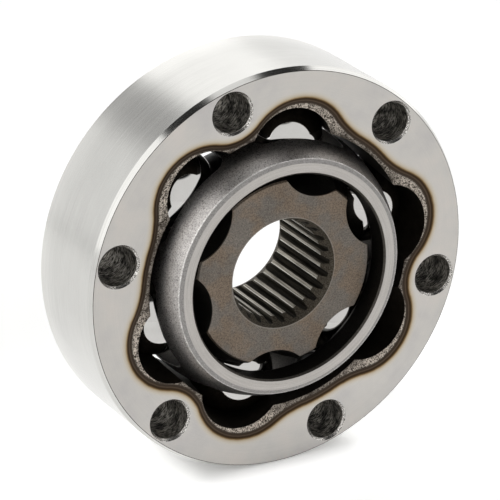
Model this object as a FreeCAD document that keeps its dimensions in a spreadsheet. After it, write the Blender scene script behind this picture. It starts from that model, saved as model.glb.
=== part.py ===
import FreeCAD, Part
import math
import os
import Sketcher

# Plunging constant velocity joint of the cross groove kind, standing like a wheel
# The joint's axis lies along Y, the open front looks toward -Y and Z is up
# The origin is on the axis, halfway through the width of the outer race

document = FreeCAD.newDocument("cross_groove_joint")
sheet = document.addObject("Spreadsheet::Sheet", "sizes")

# Driving dimensions in millimetres and degrees
DRIVING = {
    # outer race
    "race_diameter": 108,
    "race_width": 28.5,
    "race_land_height": 5.3,
    "front_bevel_width": 0.85,
    "front_bevel_length": 1.4,
    "rear_bevel": 1.0,
    "bolt_circle": 94,
    "bolt_bore": 10.4,
    "bolt_count": 6,
    "bolt_edge_break": 0.6,
    "first_bolt_angle": 47,
    "recess_depth": 0.5,
    "recess_slope_width": 1.4,
    "recess_slope_depth": 0.42,
    "recess_ledge_width": 2.49,
    "recess_lobe_inset": 0.8,
    "recess_lobe_turn": 2.78,
    "narrow_land_round": 12.8,
    "wide_land_ledge": 1.2,
    "wide_land_round": 26.5,
    # balls and tracks
    "ball_diameter": 22.225,
    "ball_count": 6,
    "pitch_radius": 32,
    "track_lean": 16,
    "outer_track_play": 0.03,
    "inner_track_play": 0.13,
    "half_plunge": 0.8,
    # cage
    "cage_width": 37,
    "cage_land_gap": 0.9,
    "cage_bevel_width": 1.24,
    "cage_bevel_depth": 0.5,
    "cage_rim_width": 2.8,
    "cage_mouth_edge": 0.5,
    "cage_hollow_gap": 1.7,
    "window_play": 0.18,
    "window_travel": 2.6,
    "window_corner": 3.5,
    # inner race
    "inner_width": 28.2,
    "inner_land_depth": 3.5,
    "inner_edge_break": 0.4,
    "spline_teeth": 25,
    "spline_tooth_angle": 60,
    "spline_tip_radius": 13.0,
    "spline_root_radius": 14.2,
    "spline_mouth_margin": 0.6,
    "spline_mouth_slope": 26,
    "spline_gap_tip": 2.3,
    "spline_gap_root": 1.05,
}


class Size:
    """A number together with the sheet formula that gives it"""

    def __init__(self, value, text):
        self.value = value
        self.text = text

    def __add__(self, other):
        other = as_size(other)
        return Size(self.value + other.value, f"({self.text} + {other.text})")

    def __sub__(self, other):
        other = as_size(other)
        return Size(self.value - other.value, f"({self.text} - {other.text})")

    def __mul__(self, other):
        other = as_size(other)
        return Size(self.value * other.value, f"({self.text} * {other.text})")

    def __truediv__(self, other):
        other = as_size(other)
        return Size(self.value / other.value, f"({self.text} / {other.text})")

    def __neg__(self):
        return Size(-self.value, f"(0 - {self.text})")


def as_size(number):
    """A plain count or zero, such as a half or a double, as a Size"""
    return number if isinstance(number, Size) else Size(number, str(number))


def root(size):
    return Size(math.sqrt(size.value), f"sqrt({size.text})")


def cosine(angle):
    return Size(math.cos(math.radians(angle.value)), f"cos({angle.text} * 1 deg)")


def sine(angle):
    return Size(math.sin(math.radians(angle.value)), f"sin({angle.text} * 1 deg)")


def tangent(angle):
    return Size(math.tan(math.radians(angle.value)), f"tan({angle.text} * 1 deg)")


def angle_of(slope):
    return Size(math.degrees(math.atan(slope.value)), f"(atan({slope.text}) / 1 deg)")


def corner_angle(side, other_side, opposite):
    """The angle between two sides of a triangle, from all three"""
    share = (side * side + other_side * other_side - opposite * opposite) / (side * other_side * 2)
    return Size(math.degrees(math.acos(share.value)), f"(acos({share.text}) / 1 deg)")


for row, (word, number) in enumerate(DRIVING.items(), start=1):
    sheet.set(f"A{row}", word)
    sheet.set(f"B{row}", str(number))
    sheet.setAlias(f"B{row}", word)
document.recompute()


def named(word):
    """The driving dimension of this name"""
    return Size(float(sheet.get(word)), f"sizes.{word}")


NOTHING = as_size(0)
FULL_TURN = as_size(360)
ball_count = int(DRIVING["ball_count"])
bolt_count = int(DRIVING["bolt_count"])
tooth_count = int(DRIVING["spline_teeth"])
pair_count = ball_count // 2

half_race = named("race_width") / 2
race_radius = named("race_diameter") / 2
ball_radius = named("ball_diameter") / 2
pitch = named("pitch_radius")
lean = named("track_lean")
plunge = named("half_plunge")
ball_step = FULL_TURN / named("ball_count")
pair_step = ball_step * 2
race_land = pitch + named("race_land_height")
cage_shell = race_land - named("cage_land_gap")
inner_land = pitch - named("inner_land_depth")
cage_hollow = inner_land + named("cage_hollow_gap")


def bind(thing, path, size):
    """Ties one property to the sheet"""
    thing.setExpression(path, size.text)


def new_body(label):
    body = document.addObject("PartDesign::Body", label)
    body.Label = label
    return body


def origin_item(body, role):
    return next(item for item in body.Origin.OriginFeatures if item.Role == role)


def sketch_on(body, role, name, offset=None):
    """A sketch on one of the body's own origin planes, moved by an offset in that plane's axes"""
    sketch = body.newObject("Sketcher::SketchObject", name)
    sketch.AttachmentSupport = (origin_item(body, role), [""])
    sketch.MapMode = "FlatFace"
    if offset is not None:
        sketch.AttachmentOffset = offset
    return sketch


def constrain(sketch, kind, *places, size):
    """One constraint whose value follows the sheet"""
    index = sketch.addConstraint(Sketcher.Constraint(kind, *places, size.value))
    bind(sketch, f"Constraints[{index}]", size)


def outline(sketch, corners, rounds=None):
    """A closed outline through the corners, with arcs where rounds names the edge after a corner

    rounds gives (centre x, centre y, radius, sense): the sense is 1 where the arc turns
    counter-clockwise on the way round the outline and -1 where it turns clockwise
    """
    rounds = rounds or {}
    ends = []
    for number, (across, up) in enumerate(corners):
        next_across, next_up = corners[(number + 1) % len(corners)]
        start = FreeCAD.Vector(across.value, up.value, 0)
        stop = FreeCAD.Vector(next_across.value, next_up.value, 0)
        if number not in rounds:
            edge = sketch.addGeometry(Part.LineSegment(start, stop), False)
            ends.append((edge, 1, 2))
            continue
        middle_x, middle_y, radius, sense = rounds[number]
        middle = FreeCAD.Vector(middle_x.value, middle_y.value, 0)
        first, last = (start, stop) if sense > 0 else (stop, start)
        from_angle = math.atan2(first.y - middle.y, first.x - middle.x)
        to_angle = math.atan2(last.y - middle.y, last.x - middle.x)
        if to_angle < from_angle:
            to_angle += 2 * math.pi
        circle = Part.Circle(middle, FreeCAD.Vector(0, 0, 1), radius.value)
        edge = sketch.addGeometry(Part.ArcOfCircle(circle, from_angle, to_angle), False)
        ends.append((edge, 1, 2) if sense > 0 else (edge, 2, 1))
    for number, (edge, begin, finish) in enumerate(ends):
        next_edge, next_begin, _ = ends[(number + 1) % len(ends)]
        sketch.addConstraint(Sketcher.Constraint("Coincident", edge, finish, next_edge, next_begin))
    for number, (across, up) in enumerate(corners):
        edge, begin, _ = ends[number]
        constrain(sketch, "DistanceX", edge, begin, size=across)
        constrain(sketch, "DistanceY", edge, begin, size=up)
        if number in rounds:
            constrain(sketch, "Radius", edge, size=rounds[number][2])


def circle_at(sketch, radius):
    """One full circle on the sketch's own origin"""
    ring = sketch.addGeometry(Part.Circle(FreeCAD.Vector(), FreeCAD.Vector(0, 0, 1), radius.value), False)
    sketch.addConstraint(Sketcher.Constraint("Coincident", ring, 3, -1, 1))
    constrain(sketch, "Radius", ring, size=radius)


def revolved(body, kind, sketch, name, axis="V_Axis"):
    """A full turn of the sketch about one of its axes, adding or cutting"""
    feature = body.newObject(f"PartDesign::{kind}", name)
    feature.Profile = sketch
    feature.ReferenceAxis = (sketch, [axis])
    feature.Angle = FULL_TURN.value
    document.recompute()
    return feature


def pocket_through(body, sketch, name, length):
    """A cut to both sides of its sketch, as long as the size says"""
    feature = body.newObject("PartDesign::Pocket", name)
    feature.Profile = sketch
    feature.Midplane = True
    bind(feature, "Length", length)
    document.recompute()
    return feature


def pocket_into(body, sketch, name, length, backwards):
    """A cut to one side of its sketch"""
    feature = body.newObject("PartDesign::Pocket", name)
    feature.Profile = sketch
    feature.Reversed = backwards
    bind(feature, "Length", length)
    document.recompute()
    return feature


def repeat_round(body, feature, name, count):
    """The feature repeated evenly about the joint's axis"""
    pattern = body.newObject("PartDesign::PolarPattern", name)
    pattern.Originals = [feature]
    pattern.Axis = (origin_item(body, "Y_Axis"), [""])
    pattern.Angle = FULL_TURN.value
    pattern.Occurrences = count
    body.Tip = pattern
    document.recompute()
    return pattern


def turned_to_bolts(body, along):
    """Stands the body on the joint's axis with the first bolt hole at its angle"""
    turn = FreeCAD.Rotation(FreeCAD.Vector(0, 1, 0), -named("first_bolt_angle").value)
    body.Placement = FreeCAD.Placement(FreeCAD.Vector(0, along.value, 0), turn)


def lean_offset(angle, side):
    """The offset that stands a sketch across a leaning track whose middle is at this angle

    With side 1 the track comes nearer to larger angles toward the open front
    """
    radial = FreeCAD.Vector(math.cos(math.radians(angle.value)), math.sin(math.radians(angle.value)), 0)
    return FreeCAD.Placement(radial * pitch.value, FreeCAD.Rotation(radial, -side * lean.value))


def cut_tracks(body, play, side, length):
    """Six straight tracks for the balls: two leaning ones, each repeated for every pair"""
    for name, angle, way in (("early", ball_step / 2, side), ("late", ball_step * 3 / 2, -side)):
        sketch = sketch_on(body, "XZ_Plane", f"{body.Label}_{name}_track_circle", lean_offset(angle, way))
        bind(sketch, "AttachmentOffset.Base.x", pitch * cosine(angle))
        bind(sketch, "AttachmentOffset.Base.y", pitch * sine(angle))
        circle_at(sketch, ball_radius + play)
        track = pocket_through(body, sketch, f"{body.Label}_{name}_track", length)
        repeat_round(body, track, f"{body.Label}_{name}_tracks", pair_count)


# Outer race


def lobed_outline(body, name, first_pair, face, growth):
    """The outline round the tracks' mouths: pairs of lobes, a narrow land within and a wide one after each"""
    reach = pitch - named("recess_lobe_inset")
    lobe = ball_radius + named("recess_ledge_width") + growth
    track_swing = angle_of(half_race * tangent(lean) / pitch)
    turn = ball_step / 2 - track_swing + named("recess_lobe_turn")
    narrow = named("narrow_land_round") - growth
    aside = reach * sine(turn)
    narrow_reach = reach * cosine(turn) + root((lobe + narrow) * (lobe + narrow) - aside * aside)
    wide = race_land + named("wide_land_ledge") + growth
    shoulder = named("wide_land_round") - growth
    shoulder_reach = wide + shoulder
    shoulder_turn = turn + corner_angle(reach, shoulder_reach, lobe + shoulder)
    arcs = []
    for pair in range(pair_count):
        middle = first_pair + pair_step * pair
        for angle, away, radius, sense in (
                (middle - shoulder_turn, shoulder_reach, shoulder, -1),
                (middle - turn, reach, lobe, 1),
                (middle, narrow_reach, narrow, -1),
                (middle + turn, reach, lobe, 1),
                (middle + shoulder_turn, shoulder_reach, shoulder, -1),
                (middle + pair_step / 2, NOTHING, wide, 1)):
            arcs.append((away * cosine(angle), away * sine(angle), radius, sense))
    corners = []
    for number, (middle_x, middle_y, radius, _) in enumerate(arcs):
        last_x, last_y, last_radius, _ = arcs[number - 1]
        share = last_radius / (last_radius + radius)
        corners.append((last_x + (middle_x - last_x) * share, last_y + (middle_y - last_y) * share))
    sketch = sketch_on(body, "XZ_Plane", name, FreeCAD.Placement(
        FreeCAD.Vector(0, 0, -face.value), FreeCAD.Rotation()))
    bind(sketch, "AttachmentOffset.Base.z", -face)
    outline(sketch, corners, dict(enumerate(arcs)))
    return sketch


def lobed_recess(body, name, first_pair, face, inward):
    """The shallow lead-in round the tracks' mouths, a sloping edge down to a flat ledge"""
    slope_end = face + named("recess_slope_depth") * inward
    ledge = lobed_outline(body, f"{name}_ledge", first_pair, face, NOTHING)
    pocket_into(body, ledge, name, named("recess_depth"), inward > 0)
    rim = lobed_outline(body, f"{name}_rim", first_pair, face, named("recess_slope_width"))
    foot = lobed_outline(body, f"{name}_foot", first_pair, slope_end, NOTHING)
    slope = body.newObject("PartDesign::SubtractiveLoft", f"{name}_slope")
    slope.Profile = rim
    slope.Sections = [foot]
    slope.Ruled = True
    document.recompute()
    return slope


def bolt_holes(body):
    """Six through holes with broken edges, each turned from its half section"""
    bore = named("bolt_bore") / 2
    edge_break = named("bolt_edge_break")
    middle = named("bolt_circle") / 2
    sketch = sketch_on(body, "XY_Plane", "bolt_hole_half")
    outline(sketch, [
        (middle, -half_race),
        (middle + bore + edge_break, -half_race),
        (middle + bore, edge_break - half_race),
        (middle + bore, half_race - edge_break),
        (middle + bore + edge_break, half_race),
        (middle, half_race),
    ])
    below = FreeCAD.Vector(middle.value, -race_radius.value, 0)
    above = FreeCAD.Vector(middle.value, race_radius.value, 0)
    line = sketch.addGeometry(Part.LineSegment(below, above), True)
    sketch.addConstraint(Sketcher.Constraint("Vertical", line))
    constrain(sketch, "DistanceX", line, 1, size=middle)
    constrain(sketch, "DistanceY", line, 1, size=-race_radius)
    constrain(sketch, "DistanceY", line, 2, size=race_radius)
    hole = revolved(body, "Groove", sketch, "bolt_hole", "Axis0")
    repeat_round(body, hole, "bolt_holes", bolt_count)


def outer_race():
    body = new_body("outer_race")
    rear = named("rear_bevel")
    sketch = sketch_on(body, "XY_Plane", "race_section")
    outline(sketch, [
        (race_land, -half_race),
        (race_radius - named("front_bevel_width"), -half_race),
        (race_radius, named("front_bevel_length") - half_race),
        (race_radius, half_race - rear),
        (race_radius - rear, half_race),
        (race_land, half_race),
    ])
    revolved(body, "Revolution", sketch, "race_ring")
    lobed_recess(body, "front_recess", ball_step, -half_race, 1)
    lobed_recess(body, "rear_recess", NOTHING, half_race, -1)
    bolt_holes(body)
    cut_tracks(body, named("outer_track_play"), 1, race_radius * 2)
    turned_to_bolts(body, NOTHING)
    return body


# Cage


def cage():
    body = new_body("cage")
    half_width = named("cage_width") / 2
    bevel_end = half_width - named("cage_bevel_depth")
    shoulder = root(cage_shell * cage_shell - bevel_end * bevel_end)
    rim = shoulder - named("cage_bevel_width")
    mouth = rim - named("cage_rim_width")
    edge = named("cage_mouth_edge")
    hollow_end = root(cage_hollow * cage_hollow - mouth * mouth)
    sketch = sketch_on(body, "XY_Plane", "cage_section")
    outline(sketch, [
        (mouth + edge, -half_width),
        (rim, -half_width),
        (shoulder, -bevel_end),
        (shoulder, bevel_end),
        (rim, half_width),
        (mouth + edge, half_width),
        (mouth, half_width - edge),
        (mouth, hollow_end),
        (mouth, -hollow_end),
        (mouth, edge - half_width),
    ], {2: (NOTHING, NOTHING, cage_shell, 1), 7: (NOTHING, NOTHING, cage_hollow, -1)})
    revolved(body, "Revolution", sketch, "cage_wall")
    half_window = ball_radius + named("window_play")
    half_length = ball_radius + named("window_travel")
    corner = named("window_corner")
    inner_y = half_window - corner
    inner_z = half_length - corner
    window = sketch_on(body, "YZ_Plane", "window_outline")
    outline(window, [
        (half_window, -inner_z),
        (half_window, inner_z),
        (inner_y, half_length),
        (-inner_y, half_length),
        (-half_window, inner_z),
        (-half_window, -inner_z),
        (-inner_y, -half_length),
        (inner_y, -half_length),
    ], {
        1: (inner_y, inner_z, corner, 1),
        3: (-inner_y, inner_z, corner, 1),
        5: (-inner_y, -inner_z, corner, 1),
        7: (inner_y, -inner_z, corner, 1),
    })
    cut = pocket_into(body, window, "window", cage_shell * 2, True)
    repeat_round(body, cut, "windows", ball_count)
    turn = FreeCAD.Rotation(FreeCAD.Vector(0, 1, 0), -(named("first_bolt_angle") + ball_step / 2).value)
    body.Placement = FreeCAD.Placement(FreeCAD.Vector(0, -plunge.value, 0), turn)
    return body


# Inner race


def spline_gaps(body):
    """The spaces between the teeth, cut outward from the bore at the teeth's tips"""
    tip = named("spline_tip_radius")
    root_radius = named("spline_root_radius")
    half_tip = named("spline_gap_tip") / 2
    half_root = named("spline_gap_root") / 2
    flare = (half_tip - half_root) / (root_radius - tip)
    start = tip - (root_radius - tip) / 2
    half_start = half_tip + flare * (tip - start)
    gap_angle = named("spline_tooth_angle") + FULL_TURN / named("spline_teeth") / 2
    turn = FreeCAD.Rotation(FreeCAD.Vector(0, 0, 1), gap_angle.value)
    sketch = sketch_on(body, "XZ_Plane", "spline_gap_outline", FreeCAD.Placement(FreeCAD.Vector(), turn))
    outline(sketch, [
        (start, -half_start),
        (root_radius, -half_root),
        (root_radius, half_root),
        (start, half_start),
    ])
    gap = pocket_through(body, sketch, "spline_gap", named("inner_width") * 2)
    repeat_round(body, gap, "spline_gaps", tooth_count)


def inner_race():
    body = new_body("inner_race")
    half_width = named("inner_width") / 2
    edge = named("inner_edge_break")
    shoulder = root(inner_land * inner_land - (half_width - edge) * (half_width - edge))
    tip = named("spline_tip_radius")
    mouth = named("spline_root_radius") + named("spline_mouth_margin")
    mouth_depth = (mouth - tip) / tangent(named("spline_mouth_slope"))
    sketch = sketch_on(body, "XY_Plane", "inner_section")
    outline(sketch, [
        (mouth, -half_width),
        (shoulder - edge, -half_width),
        (shoulder, edge - half_width),
        (shoulder, half_width - edge),
        (shoulder - edge, half_width),
        (mouth, half_width),
        (tip, half_width - mouth_depth),
        (tip, mouth_depth - half_width),
    ], {2: (NOTHING, NOTHING, inner_land, 1)})
    revolved(body, "Revolution", sketch, "inner_ring")
    spline_gaps(body)
    cut_tracks(body, named("inner_track_play"), -1, race_radius * 2)
    turned_to_bolts(body, -plunge * 2)
    return body


# Balls


def balls():
    """Each ball sits where its two tracks cross, in the cage's middle plane"""
    made = []
    slip = plunge * tangent(lean)
    for number in range(ball_count):
        angle = named("first_bolt_angle") + ball_step / 2 + ball_step * number
        way = slip if number % 2 == 0 else -slip
        ball = document.addObject("Part::Sphere", f"ball_{number + 1}")
        ball.Label = f"ball_{number + 1}"
        bind(ball, "Radius", ball_radius)
        across = pitch * cosine(angle) - way * sine(angle)
        upward = pitch * sine(angle) + way * cosine(angle)
        ball.Placement = FreeCAD.Placement(
            FreeCAD.Vector(across.value, -plunge.value, upward.value), FreeCAD.Rotation())
        bind(ball, "Placement.Base.x", across)
        bind(ball, "Placement.Base.y", -plunge)
        bind(ball, "Placement.Base.z", upward)
        made.append(ball)
    return made


pieces = [outer_race(), cage(), inner_race(), *balls()]
document.recompute()

for item in document.Objects:
    if "Invalid" in item.State or "Error" in item.State:
        raise RuntimeError(f"{item.Label} failed: {item.State}")
for piece in pieces:
    if piece.Shape.isNull() or not piece.Shape.isValid():
        raise RuntimeError(f"{piece.Label} has no valid shape")

os.makedirs("parts", exist_ok=True)
for piece in pieces:
    piece.Shape.exportStep(f"parts/{piece.Label}.step")
    box = piece.Shape.optimalBoundingBox()
    print(f"{piece.Label}: {piece.Shape.Volume:.1f} mm3, {len(piece.Shape.Solids)} solid, "
          f"Y {box.YMin:.2f} to {box.YMax:.2f}, Z {box.ZMin:.2f} to {box.ZMax:.2f}")
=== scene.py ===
import math

import bpy
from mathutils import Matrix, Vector

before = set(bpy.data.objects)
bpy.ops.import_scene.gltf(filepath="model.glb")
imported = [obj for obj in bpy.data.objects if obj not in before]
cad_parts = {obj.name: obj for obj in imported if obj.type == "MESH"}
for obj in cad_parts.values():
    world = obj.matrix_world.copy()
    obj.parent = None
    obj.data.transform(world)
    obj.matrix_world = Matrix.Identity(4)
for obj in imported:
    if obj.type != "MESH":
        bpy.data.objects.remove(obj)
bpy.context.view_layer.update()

# Sizes of the joint in millimetres and degrees, as its drawing has them
RACE_RADIUS = 54.0
HALF_RACE = 14.25
BEVEL_WIDTH = 0.85
BEVEL_LENGTH = 1.4
BOLT_CIRCLE_RADIUS = 47.0
BOLT_BORE_RADIUS = 5.2
BOLT_EDGE_BREAK = 0.6
FIRST_BOLT_ANGLE = 47.0
BOLT_STEP = 60.0
BALL_COUNT = 6
RECESS_DEPTH = 0.5
LOBE_RADIUS = 13.6
LOBE_REACH = 31.2
LOBE_TURN = 25.5
NARROW_LAND_ROUND = 12.8
WIDE_LAND_ROUND = 26.5
WIDE_LAND_RADIUS = 38.5
CAGE_MIDDLE = -0.8
CAGE_HALF_WIDTH = 18.5
CAGE_SHELL = 36.4
CAGE_SHOULDER = 31.64
CAGE_RIM_RADIUS = 30.4
HUB_MIDDLE = -1.6
HUB_HALF_WIDTH = 14.1
HUB_EDGE_BREAK = 0.4
SPLINE_TEETH = 25
SPLINE_TOOTH_ANGLE = 60.0
SPLINE_TIP_RADIUS = 13.0
SPLINE_MOUTH_RADIUS = 14.8
SPLINE_MOUTH_SLOPE = 26.0
SPLINE_HALF_GAP = 1.15
MILLIMETRE = 0.001

# How near a surface of the solid counts as on it, and the half width of a bright or dark edge
SKIN = 0.05
THIN_SKIN = 0.02
RECESS_SKIN = 0.06
CAGE_SKIN = 0.25
BORE_SKIN = 0.04
CREST_SKIN = 0.07
CAGE_BEVEL_DEPTH = 0.6
CAGE_EDGE_DEPTH = 0.75
EDGE_LINE = 0.12

# Where a look starts and ends, in millimetres
HEAT_TINT_REACH = 4.0
HEAT_TINT_END = (2.2, 3.6)
HEAT_TINT_WANDER = 0.3
LEDGE_BORDER_FADE = (-0.6, -0.15)
LEDGE_WEAR = (36.5, 41.0)
# Painted shade: the face darkens towards its foot between these heights
FACE_FOOT_PAINTED_SHADE = (-54.0, -36.0)
FACE_SATIN = (0.0, 3.0)
RIM_REAR = (4.0, 14.0)
TOOTH_SIDE_FADE = (0.1, 0.75)

# The photograph's camera, fitted to the bolt holes, the rim and the face
IMAGE_SIZE = 500
CAMERA_TURN = -29.116
CAMERA_RISE = 22.833
CAMERA_DISTANCE = 0.8566
FOCAL_PIXELS = 3338.7
AXIS_PIXEL = (253.51, 252.18)
SENSOR_WIDTH = 36.0
NEAR_CLIP = 0.01
FAR_CLIP = 20.0

# The studio, in metres and degrees: how bright each part of it looks in the steel, where 1 is white
ROOM_COLOUR = (1.0, 0.998, 0.99)
WALL_LIGHT = 0.95
CEILING_LIGHT = 0.03
CEILING_FADE = (44.0, 50.0)
LEAST_AHEAD = 0.05
LAMP_HEIGHT = 1.2
LAMP_SIZE = 0.5
LAMP_LIGHT = 0.29
SOFT_BOXES = [
    # turn, rise, width, height, softness, brightness
    (20, 18, 90, 52, 8, 1.0),
    (-84, 31, 62, 56, 5, 1.5),
    (107, 24, 50, 50, 5, 1.5),
    (163, 16, 50, 50, 6, 1.45),
    (140, -1, 26, 40, 9, 1.08),
    (-152, 4, 46, 38, 8, 0.99),
    (-145, -8, 26, 10, 5, 0.85),
    (-167, 32, 18, 14, 9, 0.45),
    (90, 84, 22, 22, 6, 1.10),
]

# The table top, in metres, and its glow, in millimetres from the joint's foot: painted light, weak
# beneath the foot as a painted shadow
TABLE_RADIUS = 0.5
TABLE_SIDES = 96
TABLE_COLOUR = (0.90, 0.90, 0.895)
TABLE_ROUGHNESS = 0.9
TABLE_GLOW = 0.10
SHADOW_FILL = 0.36
FOOT_HALF_LENGTH = 18.0
FOOT_HALF_WIDTH = 10.0
FOOT_FADE = 9.0
SHADOW_STRETCH = 0.6
NEAR_FADE = (20.0, 44.0)
NEAR_SHARE = 0.65
FAR_FADE = (50.0, 100.0)
FAR_SHARE = 0.22


def steel(red, green, blue):
    """A metal's own colour, from the sRGB shade between 0 and 255 that it shows on a flat face"""
    def plain(level):
        level = level / 255
        return level / 12.92 if level <= 0.04045 else ((level + 0.055) / 1.055) ** 2.4
    return tuple(plain(level) for level in (red, green, blue))


# Colours along a field, each with its place from 0 to 1
FACE_SHADES = [
    (0.3, steel(185, 182, 180)),
    (0.5, steel(192, 189, 185)),
    (0.7, steel(197, 192, 187)),
]
HEAT_TINT = [
    (0.0, steel(66, 57, 49)),
    (0.05, steel(52, 44, 37)),
    (0.12, steel(80, 68, 57)),
    (0.17, steel(66, 54, 43)),
    (0.215, steel(46, 35, 25)),
    (0.25, steel(54, 42, 30)),
    (0.31, steel(88, 70, 47)),
    (0.35, steel(134, 113, 83)),
    (0.395, steel(162, 145, 119)),
    (0.45, steel(177, 165, 146)),
    (0.52, steel(187, 178, 163)),
    (0.62, steel(191, 185, 175)),
    (0.75, steel(192, 188, 182)),
    (0.90, steel(192, 189, 185)),
]

# The darkest and the lightest colour of a surface, between which its grain or its lines choose
LEDGE = (steel(50, 43, 37), steel(212, 202, 190))
# Painted shade: the tracks' colours are near black, for the shade deep in the recess
TRACK_PAINTED_SHADE = ((0.005, 0.004, 0.003), (0.032, 0.026, 0.020))
BOLT_BORES = ((0.010, 0.009, 0.008), (0.72, 0.68, 0.61))
BROKEN_EDGES = ((0.09, 0.085, 0.078), (0.92, 0.89, 0.85))
RIM = ((0.585, 0.58, 0.56), (0.66, 0.655, 0.635))
CAGE_OUTSIDE = ((0.23, 0.215, 0.21), (0.64, 0.615, 0.595))
# Painted shade: the inside of the cage is coloured near black
CAGE_INSIDE_PAINTED_SHADE = ((0.030, 0.027, 0.023), (0.085, 0.078, 0.070))
CAGE_BEVEL = ((0.19, 0.18, 0.175), (0.34, 0.33, 0.32))
CAGE_END = (steel(168, 164, 160), steel(184, 180, 176))
HUB_BROWN = (steel(85, 74, 65), steel(140, 127, 113))
HUB_BLUISH = (steel(84, 79, 74), steel(132, 126, 119))
# Painted shade: near black for the hub where it lies inside the joint
HUB_PAINTED_SHADE = ((0.010, 0.009, 0.008), (0.045, 0.040, 0.034))
# The mouth's cone: its own darker brown, and painted shade besides
SPLINE_MOUTH = ((0.022, 0.018, 0.013), (0.20, 0.175, 0.14))
# Painted shade: the tooth roots are coloured near black
TOOTH_ROOT_PAINTED_SHADE = ((0.004, 0.003, 0.002), (0.042, 0.036, 0.025))
TOOTH_SIDES = ((0.03, 0.026, 0.019), (0.27, 0.245, 0.20))
TOOTH_CRESTS = ((0.070, 0.062, 0.046), (0.44, 0.41, 0.35))
BALLS = ((0.53, 0.52, 0.505), (0.59, 0.58, 0.565))

# Single colours of borders and worn edges, and of a painted shade line and painted highlights along
# edges
LEDGE_BORDER = steel(64, 55, 47)
FACE_EDGE_PAINTED_SHADE = steel(40, 37, 33)
CAGE_SCUFFS = (0.68, 0.66, 0.64)
CAGE_WORN_EDGE_AND_HIGHLIGHT = (0.92, 0.90, 0.88)
TOOTH_EDGE_HIGHLIGHTS = (0.85, 0.83, 0.77)
SPLINE_MOUTH_EDGE = (0.34, 0.32, 0.29)


def feed(tree, value, slot):
    """Links a field or a socket to an input, or sets the input to a number or a colour"""
    if isinstance(value, Field):
        value = value.socket
    if isinstance(value, bpy.types.NodeSocket):
        tree.links.new(value, slot)
    elif slot.type == "RGBA":
        slot.default_value = (*value, 1.0)
    else:
        slot.default_value = value


class Field:
    """A number that varies over a surface, written as ordinary arithmetic"""

    def __init__(self, tree, socket):
        self.tree = tree
        self.socket = socket

    def apply(self, operation, *others):
        node = self.tree.nodes.new("ShaderNodeMath")
        node.operation = operation
        for slot, other in zip(node.inputs, (self, *others)):
            feed(self.tree, other, slot)
        return Field(self.tree, node.outputs[0])

    def __add__(self, other):
        return self.apply("ADD", other)

    def __sub__(self, other):
        return self.apply("SUBTRACT", other)

    def __mul__(self, other):
        return self.apply("MULTIPLY", other)

    def __truediv__(self, other):
        return self.apply("DIVIDE", other)

    def __neg__(self):
        return self.apply("MULTIPLY", -1.0)

    def root(self):
        return self.apply("SQRT")

    def size(self):
        return self.apply("ABSOLUTE")

    def higher(self, other):
        return self.apply("MAXIMUM", other)

    def above(self, limit):
        return self.apply("GREATER_THAN", limit)

    def below(self, limit):
        return self.apply("LESS_THAN", limit)

    def inverse(self):
        """0 where this is 1, and 1 where it is 0"""
        return -(self - 1.0)

    def modulo(self, span):
        """What is left over whole spans, from 0 up to one span"""
        return self.apply("FLOORED_MODULO", span)

    def cosine(self):
        return self.apply("COSINE")

    def sine(self):
        return self.apply("SINE")

    def angle(self, across):
        """The angle of the direction (across, self), in radians"""
        return self.apply("ARCTAN2", across)

    def between(self, low, high):
        """0 at low, 1 at high and a smooth rise from one to the other"""
        node = self.tree.nodes.new("ShaderNodeMapRange")
        node.interpolation_type = "SMOOTHSTEP"
        self.tree.links.new(self.socket, node.inputs["Value"])
        node.inputs["From Min"].default_value = low
        node.inputs["From Max"].default_value = high
        return Field(self.tree, node.outputs["Result"])


def length(*parts):
    """The length of a vector, from the fields along its axes"""
    total = parts[0] * parts[0]
    for part in parts[1:]:
        total = total + part * part
    return total.root()


def pick(chooser, when_no, when_yes):
    """One number or field or the other, or a blend of them"""
    node = chooser.tree.nodes.new("ShaderNodeMix")
    node.data_type = "FLOAT"
    for name, value in (("Factor", chooser), ("A", when_no), ("B", when_yes)):
        feed(chooser.tree, value, node.inputs[name])
    return Field(chooser.tree, node.outputs["Result"])


def place_in_millimetres(tree):
    """The three coordinates of the surface point, each a field"""
    split = tree.nodes.new("ShaderNodeSeparateXYZ")
    tree.links.new(tree.nodes.new("ShaderNodeTexCoord").outputs["Object"], split.inputs[0])
    return [Field(tree, out) / MILLIMETRE for out in split.outputs]


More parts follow.
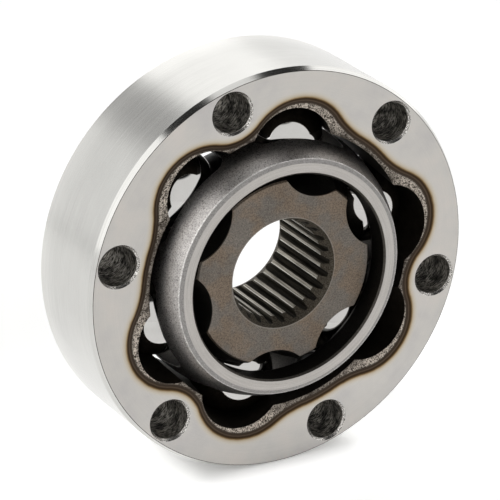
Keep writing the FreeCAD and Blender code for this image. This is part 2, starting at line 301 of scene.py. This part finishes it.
class Finish:
    """One material, built up from fields of the surface point in millimetres"""

    def __init__(self, name):
        self.material = bpy.data.materials.new(name)
        self.material.use_nodes = True
        self.tree = self.material.node_tree
        self.shader = self.tree.nodes["Principled BSDF"]
        self.x, self.y, self.z = place_in_millimetres(self.tree)
        self.radius = length(self.x, self.z)
        self.turn = self.z.angle(self.x)

    def noise(self, where, scale, detail, roughness, distortion=0.0):
        vector = self.tree.nodes.new("ShaderNodeCombineXYZ")
        for part, slot in zip(where, vector.inputs):
            feed(self.tree, part, slot)
        node = self.tree.nodes.new("ShaderNodeTexNoise")
        feed(self.tree, vector.outputs[0], node.inputs["Vector"])
        node.inputs["Scale"].default_value = scale
        node.inputs["Detail"].default_value = detail
        node.inputs["Roughness"].default_value = roughness
        node.inputs["Distortion"].default_value = distortion
        return Field(self.tree, node.outputs["Fac"])

    def grain(self, scale, detail=4.0, roughness=0.6):
        """Even grain in every direction; the scale is in grains to the millimetre"""
        return self.noise((self.x, self.y, self.z), scale, detail, roughness)

    def streaks(self, *where, detail=4.0, roughness=0.6, distortion=0.0):
        """Grain over other fields, drawn out along the one that changes least"""
        return self.noise(where, 1.0, detail, roughness, distortion)

    def blend(self, chooser, first, second):
        """A colour between two others, each a colour or a socket"""
        node = self.tree.nodes.new("ShaderNodeMix")
        node.data_type = "RGBA"
        for name, value in (("Factor", chooser), ("A", first), ("B", second)):
            feed(self.tree, value, node.inputs[name])
        return node.outputs["Result"]

    def scaled(self, colour, amount):
        """A colour made lighter or darker by a field"""
        node = self.tree.nodes.new("ShaderNodeVectorMath")
        node.operation = "SCALE"
        feed(self.tree, colour, node.inputs[0])
        feed(self.tree, amount, node.inputs["Scale"])
        return node.outputs[0]

    def ramp(self, amount, stops):
        """A colour that changes along a field through (place, colour) stops between 0 and 1"""
        node = self.tree.nodes.new("ShaderNodeValToRGB")
        feed(self.tree, amount, node.inputs["Fac"])
        band = node.color_ramp
        while len(band.elements) < len(stops):
            band.elements.new(0.5)
        for element, (place, colour) in zip(band.elements, stops):
            element.position = place
            element.color = (*colour, 1.0)
        return node.outputs["Color"]

    def bump(self, height, depth_mm):
        """Raises the surface by a field, with its whole depth given in millimetres"""
        node = self.tree.nodes.new("ShaderNodeBump")
        node.inputs["Strength"].default_value = 1.0
        node.inputs["Distance"].default_value = depth_mm * MILLIMETRE
        feed(self.tree, height, node.inputs["Height"])
        feed(self.tree, node.outputs["Normal"], self.shader.inputs["Normal"])

    def turned_about_axis(self, amount):
        """Highlights drawn out across fine grooves that run round the joint's axis"""
        tangent = self.tree.nodes.new("ShaderNodeTangent")
        tangent.direction_type = "RADIAL"
        tangent.axis = "Y"
        feed(self.tree, tangent.outputs[0], self.shader.inputs["Tangent"])
        self.shader.inputs["Anisotropic"].default_value = amount

    def metal(self, colour, roughness):
        """Bare metal of that colour and roughness"""
        feed(self.tree, colour, self.shader.inputs["Base Color"])
        feed(self.tree, roughness, self.shader.inputs["Roughness"])
        self.shader.inputs["Metallic"].default_value = 1.0

    def on(self, *nodes):
        """Puts the finish on the named pieces, in place of what they wear"""
        for node in nodes:
            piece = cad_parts[node]
            piece.data.materials.clear()
            piece.data.materials.append(self.material)


def folded_turn(finish, front):
    """The point's angle from the nearest narrow land, the same on both lobes of a pair"""
    pair = math.radians(2 * BOLT_STEP)
    start = front * math.radians(BOLT_STEP) + math.radians(FIRST_BOLT_ANGLE)
    around = (finish.turn - start).modulo(pair)
    return -(around - pair / 2).size() + pair / 2


def beyond_recess(finish, front):
    """How many millimetres the point lies outside the recess round the tracks, below 0 inside"""
    folded = folded_turn(finish, front)
    across = finish.radius * folded.cosine()
    up = finish.radius * folded.sine()
    turn = math.radians(LOBE_TURN)
    lobe = Vector((math.cos(turn), math.sin(turn))) * LOBE_REACH
    narrow_reach = lobe.x + math.sqrt((LOBE_RADIUS + NARROW_LAND_ROUND) ** 2 - lobe.y ** 2)
    shoulder_reach = WIDE_LAND_RADIUS + WIDE_LAND_ROUND
    sides = LOBE_REACH ** 2 + shoulder_reach ** 2 - (LOBE_RADIUS + WIDE_LAND_ROUND) ** 2
    shoulder_turn = turn + math.acos(sides / (2 * LOBE_REACH * shoulder_reach))
    narrow = Vector((narrow_reach, 0.0))
    shoulder = Vector((math.cos(shoulder_turn), math.sin(shoulder_turn))) * shoulder_reach

    def past_line(centre, sense):
        """1 where the point lies on that side of the line from the lobe's centre to the land's"""
        line = (centre - lobe) * sense
        return ((up - lobe.y) * line.x - (across - lobe.x) * line.y).above(0.0)

    distance = length(across - lobe.x, up - lobe.y) - LOBE_RADIUS
    to_narrow = -(length(across - narrow.x, up - narrow.y) - NARROW_LAND_ROUND)
    distance = pick(past_line(narrow, -1.0), distance, to_narrow)
    to_shoulder = -(length(across - shoulder.x, up - shoulder.y) - WIDE_LAND_ROUND)
    distance = pick(past_line(shoulder, 1.0), distance, to_shoulder)
    return pick(folded.above(shoulder_turn), distance, finish.radius - WIDE_LAND_RADIUS)


def from_bolt_hole(finish):
    """How far the point lies from the axis of the nearest bolt hole, in millimetres"""
    step = math.radians(BOLT_STEP)
    start = math.radians(FIRST_BOLT_ANGLE) - step / 2
    around = (finish.turn - start).modulo(step) - step / 2
    across = finish.radius * around.cosine() - BOLT_CIRCLE_RADIUS
    return length(across, finish.radius * around.sine())


# The outer race: turned rim, ground faces, heat tint round the tracks' mouths, painted shade in the
# tracks, a painted dark line at the face's edge and painted shade towards the face's foot
def outer_race_finish():
    finish = Finish("ground_race_steel")
    depth = -(finish.y.size() - HALF_RACE)
    beyond = beyond_recess(finish, finish.y.below(0.0))
    hole = from_bolt_hole(finish)
    on_rim = finish.radius.above(RACE_RADIUS - BEVEL_WIDTH + THIN_SKIN)
    on_bevel = on_rim * depth.below(BEVEL_LENGTH - THIN_SKIN)
    in_hole = hole.below(BOLT_BORE_RADIUS + SKIN)
    round_hole = hole.below(BOLT_BORE_RADIUS + BOLT_EDGE_BREAK) * in_hole.inverse()
    inside = beyond.below(THIN_SKIN)
    in_tracks = depth.above(RECESS_DEPTH + RECESS_SKIN) * inside
    on_ledge = inside * in_tracks.inverse()
    on_edge = (finish.radius - RACE_RADIUS + BEVEL_WIDTH).size().below(EDGE_LINE)

    cloudy = finish.grain(0.10, detail=3.0)
    blotchy = finish.grain(0.35)
    fine = finish.grain(2.6, detail=5.0, roughness=0.7)
    ground = finish.grain(4.0, detail=3.0, roughness=0.8)
    speckle = finish.grain(2.7, roughness=0.8).between(0.42, 0.57)
    patchy = finish.grain(0.5, detail=3.0).between(0.35, 0.6)
    turned = finish.streaks(finish.radius * 3.5, finish.turn * 1.5)
    rim_lines = finish.streaks(finish.turn * 1.2, finish.y * 5.0)
    bore_lines = finish.streaks(finish.x * 0.9, finish.y * 3.4, finish.z * 0.9, distortion=0.15)
    bore_lines = bore_lines.between(0.34, 0.70) * (blotchy.between(0.36, 0.60) * 0.7 + 0.3)

    from_tint = beyond + (blotchy - 0.5) * HEAT_TINT_WANDER
    tint = finish.ramp(from_tint / HEAT_TINT_REACH, HEAT_TINT)
    face = finish.blend(from_tint.between(*HEAT_TINT_END), tint, finish.ramp(cloudy, FACE_SHADES))
    face = finish.scaled(face, turned * 0.12 + ground * 0.24 + 0.81)
    # Painted shade: the face is coloured darker towards its foot, as it mirrors the shadowed table
    # there
    face = finish.scaled(face, finish.z.between(*FACE_FOOT_PAINTED_SHADE) * 0.2 + 0.8)
    # Painted shade: a thin dark line where the face meets the rim's bevel
    face = finish.blend(on_edge, face, FACE_EDGE_PAINTED_SHADE)
    worn = finish.radius.between(*LEDGE_WEAR) * 0.65 + patchy * 0.35
    ledge = finish.blend(speckle * worn, *LEDGE)
    ledge = finish.blend(beyond.between(*LEDGE_BORDER_FADE), ledge, LEDGE_BORDER)
    colour = finish.blend(on_ledge, face, ledge)
    # Painted shade: the tracks deep in the recess are coloured near black
    colour = finish.blend(in_tracks, colour, finish.blend(finish.grain(0.5), *TRACK_PAINTED_SHADE))
    colour = finish.blend(in_hole, colour, finish.blend(bore_lines, *BOLT_BORES))
    broken = finish.blend(ground.between(0.44, 0.62), *BROKEN_EDGES)
    colour = finish.blend(round_hole, colour, broken)
    rim = finish.blend(rim_lines.between(0.3, 0.7), *RIM)
    rim = finish.scaled(rim, finish.y.between(*RIM_REAR) * 0.14 + cloudy * 0.12 + 0.91)
    colour = finish.blend(on_rim, colour, rim)

    rough = pick(in_tracks, pick(on_ledge, 0.34, 0.45), 0.68)
    rough = rough + beyond.between(*FACE_SATIN).inverse() * 0.06 + fine * 0.08
    rough = pick(in_hole, rough, bore_lines * -0.55 + 0.85)
    rough = pick(round_hole, rough, 0.25)
    rough = pick(on_rim, rough, rim_lines * 0.06 + 0.17)
    rough = pick(on_bevel, rough, rim_lines * 0.05 + 0.10)
    finish.metal(colour, rough)

    height = fine * 0.35 + turned * 0.25 + speckle * on_ledge * 1.2
    height = pick(on_rim, height, rim_lines * 0.30)
    height = pick(in_hole, height, bore_lines * 3.0)
    finish.bump(height, 0.02)
    finish.turned_about_axis(0.35)
    finish.on("outer_race")


# The cage: satin ground steel, brighter on its flat rims, its worn outer edges with a painted
# highlight along them, and painted near black inside as shade within the joint
def cage_finish():
    finish = Finish("cage_steel")
    along = (finish.y - CAGE_MIDDLE).size()
    from_middle = length(finish.radius, finish.y - CAGE_MIDDLE)
    on_end = along.above(CAGE_HALF_WIDTH - SKIN)
    outside = from_middle.above(CAGE_SHELL - CAGE_SKIN)
    on_bevel = along.above(CAGE_HALF_WIDTH - CAGE_BEVEL_DEPTH)
    on_bevel = on_bevel * finish.radius.above(CAGE_RIM_RADIUS - SKIN)
    on_edge = (finish.radius - CAGE_SHOULDER).size().below(EDGE_LINE)
    on_edge = on_edge * along.above(CAGE_HALF_WIDTH - CAGE_EDGE_DEPTH)

    grain = finish.grain(2.8, roughness=0.8).between(0.30, 0.70)
    cloudy = finish.grain(0.16)
    scuffed = finish.grain(0.7, roughness=0.7).between(0.45, 0.65)
    lines = finish.streaks(finish.radius * 2.4, finish.turn * 2.5, roughness=0.65)

    shell = finish.scaled(finish.blend(grain, *CAGE_OUTSIDE), cloudy * 0.5 + 0.75)
    shell = finish.blend(scuffed * 0.25, shell, CAGE_SCUFFS)
    end = finish.blend(lines.between(0.3, 0.7), *CAGE_END)
    end = finish.scaled(end, grain * 0.16 + 0.92)
    # Painted shade: the cage's inside, within the joint, is coloured near black
    colour = finish.blend(outside, finish.blend(grain, *CAGE_INSIDE_PAINTED_SHADE), shell)
    colour = finish.blend(on_bevel, colour, finish.blend(grain, *CAGE_BEVEL))
    # A worn edge and a painted highlight: a thin bright line along the shell's outer edge
    colour = finish.blend(on_edge * (scuffed * 0.5 + 0.35), colour, CAGE_WORN_EDGE_AND_HIGHLIGHT)
    colour = finish.blend(on_end, colour, end)

    rough = pick(outside, 0.45, grain * 0.12 + 0.26)
    rough = pick(on_end, rough, lines * 0.1 + 0.30)
    finish.metal(colour, rough)
    finish.bump(grain * 0.7 + lines * 0.4, 0.012)
    finish.turned_about_axis(0.2)
    finish.on("cage")


# The inner race: matt brown grey with faint stains, painted near black as shade where it lies
# inside the joint, with painted shade in its tooth roots and on its mouth, and painted highlights
# along its broached teeth's edges
def inner_race_finish():
    finish = Finish("phosphated_steel")
    along = (finish.y - HUB_MIDDLE).size()
    on_face = along.above(HUB_HALF_WIDTH - HUB_EDGE_BREAK - SKIN)
    slope = math.tan(math.radians(SPLINE_MOUTH_SLOPE))
    mouth = (along - HUB_HALF_WIDTH) * slope + SPLINE_MOUTH_RADIUS
    in_bore = finish.radius.below(SPLINE_MOUTH_RADIUS - BORE_SKIN)
    on_mouth = in_bore * (finish.radius - mouth).size().below(SKIN)
    on_crest = finish.radius.below(SPLINE_TIP_RADIUS + CREST_SKIN)
    below_crest = (finish.radius - SPLINE_TIP_RADIUS).between(*TOOTH_SIDE_FADE)
    pitch = 2 * math.pi / SPLINE_TEETH
    turn = (finish.turn - math.radians(SPLINE_TOOTH_ANGLE)).modulo(pitch) - pitch / 2
    from_gap = (finish.radius * turn.sine()).size() - SPLINE_HALF_GAP
    on_tooth_edge = on_crest * from_gap.size().below(EDGE_LINE)
    from_mouth_edge = finish.radius - SPLINE_MOUTH_RADIUS - EDGE_LINE
    on_mouth_edge = on_face * from_mouth_edge.size().below(EDGE_LINE)

    grain = finish.grain(2.6, detail=5.0, roughness=0.8).between(0.30, 0.70)
    cloudy = finish.grain(0.12, detail=3.0)
    stains = finish.grain(0.16, detail=2.0, roughness=0.5).between(0.38, 0.62)
    broached = (finish.x * 3.0, finish.y * 0.10, finish.z * 3.0)
    lines = finish.streaks(*broached, detail=5.0, roughness=0.7).between(0.32, 0.68)

    dull = finish.blend(stains, finish.blend(grain, *HUB_BLUISH), finish.blend(grain, *HUB_BROWN))
    dull = finish.scaled(dull, cloudy * 0.5 + 0.77)
    # Painted shade: everything but the hub's faces is coloured near black, for the shade inside the
    # joint
    colour = finish.blend(on_face, finish.blend(grain, *HUB_PAINTED_SHADE), dull)
    sides = finish.blend(lines, *TOOTH_SIDES)
    # Painted shade: the tooth sides darken towards their roots
    sides = finish.blend(below_crest, sides, finish.blend(lines, *TOOTH_ROOT_PAINTED_SHADE))
    crests = finish.blend(lines, *TOOTH_CRESTS)
    # Painted highlights: bright lines along the crests' edges
    crests = finish.blend(on_tooth_edge * (lines * 0.6 + 0.3), crests, TOOTH_EDGE_HIGHLIGHTS)
    colour = finish.blend(in_bore, colour, finish.blend(on_crest, sides, crests))
    # The mouth's cone: its own darker brown and painted shade besides, darker than the face
    colour = finish.blend(on_mouth, colour, finish.blend(grain, *SPLINE_MOUTH))
    colour = finish.blend(on_mouth_edge * cloudy * 0.8, colour, SPLINE_MOUTH_EDGE)

    rough = pick(in_bore, grain * 0.12 + 0.5, pick(on_crest, 0.7, lines * 0.1 + 0.38))
    finish.metal(colour, rough)
    finish.bump(pick(in_bore, grain * 0.7, lines * 0.5), 0.02)
    finish.on("inner_race")


# The balls: mirror polished, with the faintest haze
def ball_finish():
    finish = Finish("polished_ball_steel")
    haze = finish.grain(0.35, detail=3.0)
    finish.metal(finish.blend(haze, *BALLS), haze * 0.05 + 0.015)
    finish.on(*(f"ball_{number}" for number in range(1, BALL_COUNT + 1)))


def direction(turn, rise):
    """The way towards a point of the studio: turn 0 is straight in front, 90 is to the right"""
    turn, rise = math.radians(turn), math.radians(rise)
    level = math.cos(rise)
    return Vector((math.sin(turn) * level, -math.cos(turn) * level, math.sin(rise)))


# The studio: pale walls, a dark ceiling above them and soft boxes in front of both
def studio():
    world = bpy.data.worlds.new("studio")
    bpy.context.scene.world = world
    world.use_nodes = True
    tree = world.node_tree
    background = tree.nodes["Background"]
    where = tree.nodes.new("ShaderNodeTexCoord").outputs["Generated"]
    zenith = Vector((0, 0, 1))

    def along(way):
        node = tree.nodes.new("ShaderNodeVectorMath")
        node.operation = "DOT_PRODUCT"
        feed(tree, where, node.inputs[0])
        node.inputs[1].default_value = way
        return Field(tree, node.outputs["Value"])

    def patch(turn, rise, width, height, softness):
        """1 inside a soft-edged rectangle of the room, sized in degrees as seen from the joint"""
        way = direction(turn, rise)
        right = way.cross(zenith).normalized()
        up = right.cross(way)
        ahead = along(way).higher(LEAST_AHEAD)
        inside = along(way).above(LEAST_AHEAD)
        for axis, span in ((right, width), (up, height)):
            out = (along(axis) / ahead).size()
            edge = math.tan(math.radians(span / 2))
            fade = math.tan(math.radians(softness / 2))
            inside = inside * out.between(edge - fade, edge + fade).inverse()
        return inside

    wall_top, ceiling_start = (math.sin(math.radians(rise)) for rise in CEILING_FADE)
    walls = along(zenith).between(wall_top, ceiling_start).inverse()
    light = walls * WALL_LIGHT + CEILING_LIGHT
    for *rectangle, brightness in SOFT_BOXES:
        light = pick(patch(*rectangle), light, brightness)
    feed(tree, light, background.inputs["Strength"])
    feed(tree, ROOM_COLOUR, background.inputs["Color"])


# A broad lamp over the table, out of the steel's mirror
def lamp():
    light = bpy.data.lights.new("overhead", "AREA")
    light.size = LAMP_SIZE
    light.energy = LAMP_LIGHT * (math.pi * LAMP_HEIGHT) ** 2
    overhead = bpy.data.objects.new("overhead", light)
    overhead.location = (0.0, 0.0, LAMP_HEIGHT)
    overhead.visible_glossy = False
    bpy.context.scene.collection.objects.link(overhead)


# The table top that the joint stands on; its own glow is painted light that keeps the shadow close
# round the joint's foot, weak beneath the foot as a painted shadow and strong round it to fill the
# joint's shadow in
def floor():
    drop = -RACE_RADIUS * MILLIMETRE
    corners = []
    for number in range(TABLE_SIDES):
        turn = 2 * math.pi * number / TABLE_SIDES
        corners.append((TABLE_RADIUS * math.cos(turn), TABLE_RADIUS * math.sin(turn), drop))
    mesh = bpy.data.meshes.new("floor")
    mesh.from_pydata(corners, [], [tuple(range(TABLE_SIDES))])
    top = bpy.data.objects.new("floor", mesh)
    bpy.context.scene.collection.objects.link(top)

    material = bpy.data.materials.new("floor_white")
    material.use_nodes = True
    tree = material.node_tree
    shader = tree.nodes["Principled BSDF"]
    feed(tree, TABLE_COLOUR, shader.inputs["Base Color"])
    shader.inputs["Roughness"].default_value = TABLE_ROUGHNESS
    shader.inputs["Specular IOR Level"].default_value = 0.0
    rays = tree.nodes.new("ShaderNodeLightPath").outputs
    seen = Field(tree, rays["Is Camera Ray"])
    for kind in ("Is Glossy Ray", "Is Transmission Ray"):
        seen = seen.higher(Field(tree, rays[kind]))
    x, y, _ = place_in_millimetres(tree)
    past_end = (x.size() - FOOT_HALF_LENGTH).higher(0.0)
    past_side = (y.size() - FOOT_HALF_WIDTH).higher(0.0)
    outside_painted_foot_shadow = length(past_end, past_side).between(0.0, FOOT_FADE)
    away = length(x * SHADOW_STRETCH, y)
    fall = away.between(*NEAR_FADE) * NEAR_SHARE + away.between(*FAR_FADE) * FAR_SHARE
    # Painted shadow and light: the glow stays weak beneath the foot and fills in the shadow round
    # it
    glow = outside_painted_foot_shadow * fall.inverse() * SHADOW_FILL + TABLE_GLOW
    feed(tree, (1.0, 1.0, 1.0), shader.inputs["Emission Color"])
    feed(tree, seen * glow, shader.inputs["Emission Strength"])
    mesh.materials.append(material)


# The photograph's own view of the joint
def camera():
    data = bpy.data.cameras.new("camera")
    data.sensor_width = SENSOR_WIDTH
    data.lens = FOCAL_PIXELS * SENSOR_WIDTH / IMAGE_SIZE
    data.shift_x = (IMAGE_SIZE / 2 - AXIS_PIXEL[0]) / IMAGE_SIZE
    data.shift_y = (AXIS_PIXEL[1] - IMAGE_SIZE / 2) / IMAGE_SIZE
    data.clip_start = NEAR_CLIP
    data.clip_end = FAR_CLIP
    eye = bpy.data.objects.new("camera", data)
    bpy.context.scene.collection.objects.link(eye)
    back = direction(CAMERA_TURN, CAMERA_RISE)
    eye.location = back * CAMERA_DISTANCE
    eye.rotation_euler = (-back).to_track_quat("-Z", "Y").to_euler()
    bpy.context.scene.camera = eye


outer_race_finish()
cage_finish()
inner_race_finish()
ball_finish()
studio()
lamp()
floor()
camera()
bpy.context.scene.view_settings.view_transform = "Standard"
